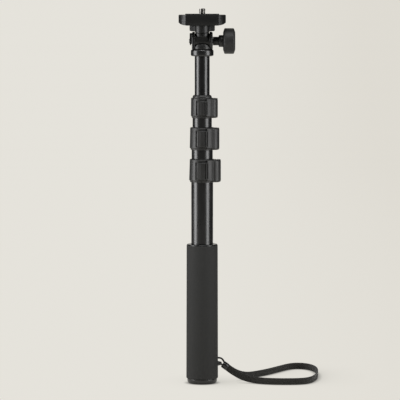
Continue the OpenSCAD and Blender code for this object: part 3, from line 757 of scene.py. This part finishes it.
# Tilt knob
# A smooth matte knob on a hub with a spacer, both moulded. The hub holds the head of the steel bolt that
# clamps the fork.
knob_plastic = moulded("knob_plastic", (0.0165, 0.0165, 0.016), gloss=(0.42, 0.52), grain_scale=1800.0,
                       depth=0.00005, specular=0.35)
finished(bevelled("tilt_knob", FINE_BEVEL), "head_tilt_knob", knob_plastic, "knob",
         ["tilt_knob"])
finished(bevelled("knob_hub", FINE_BEVEL), "head_knob_hub", clamp_plastic, "knob",
         ["knob_hub"])

# Steel fasteners and hidden guides
# The lever pins keep their solids, in plated steel, and the tilt bolt and its nut theirs, in blackened
# steel. The guide bushes and brake pads inside the tubes keep theirs, in a slippery moulded plastic.
guide_plastic = moulded("guide_plastic", (0.05, 0.05, 0.05), gloss=(0.4, 0.5), grain_scale=2000.0,
                        depth=0.00003)
black_steel = turned_steel("black_steel", dull=(0.035, 0.035, 0.034), bright=(0.075, 0.075, 0.072),
                           gloss=(0.3, 0.5))
PIN_NODES = [level + "_lever_pin" for level in CLAMP_BODIES]
BOLT_NODES = ["tilt_bolt", "tilt_nut"]
GUIDE_NODES = ["second_bush", "third_bush", "top_bush"] + [level + "_brake_pad" for level in CLAMP_BODIES]
for names, material in ((PIN_NODES, plated_steel), (BOLT_NODES, black_steel), (GUIDE_NODES, guide_plastic)):
    for name in names:
        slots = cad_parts[name].data.materials
        slots.clear()
        slots.append(material)

# Studio
# One sheet of pale paper makes the floor and, behind a wide curve, the backdrop. The camera, and glossy
# surfaces too, see it in its own colour, with a painted soft shadow of the object and painted shade
# towards the right. A tall soft box stands on each side, and a weaker one hangs in front, above the object.
BACKGROUND = (0.785, 0.765, 0.71)
SHADED_SIDE = (0.735, 0.71, 0.65)
SHADED_REACH = 0.4
SHADOW = (0.5, 0.49, 0.45)
SHADOW_REACH = 0.05
CONTACT_SHADOW = (0.06, 0.058, 0.055)
CONTACT_REACH = 0.005
SKY_SAMPLES = 16
MAIN_LIGHT = (-0.55, -0.3, 0.78)
PAPER_HALF_WIDTH = 0.66
PAPER_FRONT = -1.0
CURVE_START = 3.0
CURVE_RADIUS = 1.5
CURVE_STEPS = 24
PAPER_HEIGHT = 7.0
AMBIENT = (1.0, 0.99, 0.97)
AMBIENT_STRENGTH = 0.06
# Each soft box: name, azimuth, distance, height, width, length and power; all face the same height
SOFT_BOXES = [
    ("left_box", -76.0, 1.3, 0.35, 0.7, 1.7, 23.0),
    ("right_box", 61.0, 1.3, 0.35, 0.62, 1.7, 16.5),
    ("front_box", 0.0, 0.8, 1.8, 1.2, 0.6, 14.0),
]
LIGHT_AIM = 0.35


def pull_out(mesh, edges, way):
    """Extrudes edges by a vector and gives the new edges and vertices."""
    made = bmesh.ops.extrude_edge_only(mesh, edges=edges)["geom"]
    verts = [part for part in made if isinstance(part, bmesh.types.BMVert)]
    bmesh.ops.translate(mesh, vec=way, verts=verts)
    return verts + [part for part in made if isinstance(part, bmesh.types.BMEdge)]


paper_mesh = bmesh.new()
corners = [paper_mesh.verts.new((side * PAPER_HALF_WIDTH, PAPER_FRONT, 0.0)) for side in (-1.0, 1.0)]
front_edge = paper_mesh.edges.new(corners)
floor_end = pull_out(paper_mesh, [front_edge], (0.0, CURVE_START - PAPER_FRONT, 0.0))
curved = bmesh.ops.spin(paper_mesh, geom=floor_end, cent=(0.0, CURVE_START, CURVE_RADIUS), axis=(1, 0, 0),
                        dvec=(0, 0, 0), angle=math.pi / 2, steps=CURVE_STEPS, use_merge=False,
                        use_duplicate=False)
curve_end = [part for part in curved["geom_last"] if isinstance(part, bmesh.types.BMEdge)]
pull_out(paper_mesh, curve_end, (0.0, 0.0, PAPER_HEIGHT - CURVE_RADIUS))
bmesh.ops.recalc_face_normals(paper_mesh, faces=paper_mesh.faces)
for face in paper_mesh.faces:
    face.smooth = True
paper_data = bpy.data.meshes.new("studio_paper")
paper_mesh.to_mesh(paper_data)
paper_mesh.free()
paper = bpy.data.objects.new("studio_paper", paper_data)
scene.collection.objects.link(paper)


def open_sky(tree, reach):
    """An Ambient Occlusion node: how much of the sky the object leaves open within a reach."""
    node = tree.nodes.new("ShaderNodeAmbientOcclusion")
    node.samples = SKY_SAMPLES
    feed(tree, node.inputs["Distance"], reach)
    return node


def show_to(tree, rays, plain, shown, output):
    """Shows one shader to some rays and the plain one to the rest."""
    choose = tree.nodes.new("ShaderNodeMixShader")
    feed(tree, choose.inputs["Fac"], rays)
    feed(tree, choose.inputs[1], plain.outputs[0])
    feed(tree, choose.inputs[2], shown.outputs[0])
    feed(tree, tree.nodes[output].inputs["Surface"], choose.outputs[0])


paper_look, tree, shader = new_material("studio_paper", BACKGROUND, roughness=0.9, specular=0.1)
paper_data.materials.append(paper_look)
split = tree.nodes.new("ShaderNodeSeparateXYZ")
feed(tree, split.inputs[0], object_place(tree))
# Painted shade: the paper darkens towards the right, as if the light fell off there
painted_shade_share = add_range(tree, split.outputs["X"], source=(0.0, SHADED_REACH), target=(0.0, 1.0))
painted_side_shade = add_mix(tree, painted_shade_share, BACKGROUND, SHADED_SIDE)
# The painted shadow darkens the paper where the object hides the sky on the main light's side
main_light = tree.nodes.new("ShaderNodeCombineXYZ")
for socket, value in zip(main_light.inputs, MAIN_LIGHT):
    feed(tree, socket, value)
light_side = open_sky(tree, SHADOW_REACH)
feed(tree, light_side.inputs["Normal"], main_light.outputs["Vector"])
shaded = add_mix(tree, light_side.outputs["AO"], SHADOW, painted_side_shade)
# Close under the foot and the strap a painted contact shadow makes the paper almost black
close_by = open_sky(tree, CONTACT_REACH)
seen_paper = tree.nodes.new("ShaderNodeEmission")
feed(tree, seen_paper.inputs["Color"], add_mix(tree, close_by.outputs["AO"], CONTACT_SHADOW, shaded))
path = tree.nodes.new("ShaderNodeLightPath")
straight = add_math(tree, "MAXIMUM", path.outputs["Is Camera Ray"], path.outputs["Is Glossy Ray"])
seen_rays = add_math(tree, "MAXIMUM", straight, path.outputs["Is Transmission Ray"])
show_to(tree, seen_rays, shader, seen_paper, "Material Output")

for name, azimuth, distance, height, width, length, power in SOFT_BOXES:
    lamp = bpy.data.lights.new(name, "AREA")
    lamp.shape = "RECTANGLE"
    lamp.size = width
    lamp.size_y = length
    lamp.energy = power
    box = bpy.data.objects.new(name, lamp)
    turn = math.radians(azimuth)
    box.location = (distance * math.sin(turn), -distance * math.cos(turn), height)
    box.rotation_euler = (math.atan2(distance, height - LIGHT_AIM), 0.0, turn)
    box.visible_camera = False
    scene.collection.objects.link(box)

# The world gives a weak fill, and the camera sees it in the paper's colour
world = bpy.data.worlds.new("studio")
world.use_nodes = True
scene.world = world
tree = world.node_tree
ambient = tree.nodes["Background"]
feed(tree, ambient.inputs["Color"], AMBIENT)
feed(tree, ambient.inputs["Strength"], AMBIENT_STRENGTH)
backdrop = tree.nodes.new("ShaderNodeBackground")
feed(tree, backdrop.inputs["Color"], BACKGROUND)
path = tree.nodes.new("ShaderNodeLightPath")
show_to(tree, path.outputs["Is Camera Ray"], ambient, backdrop, "World Output")
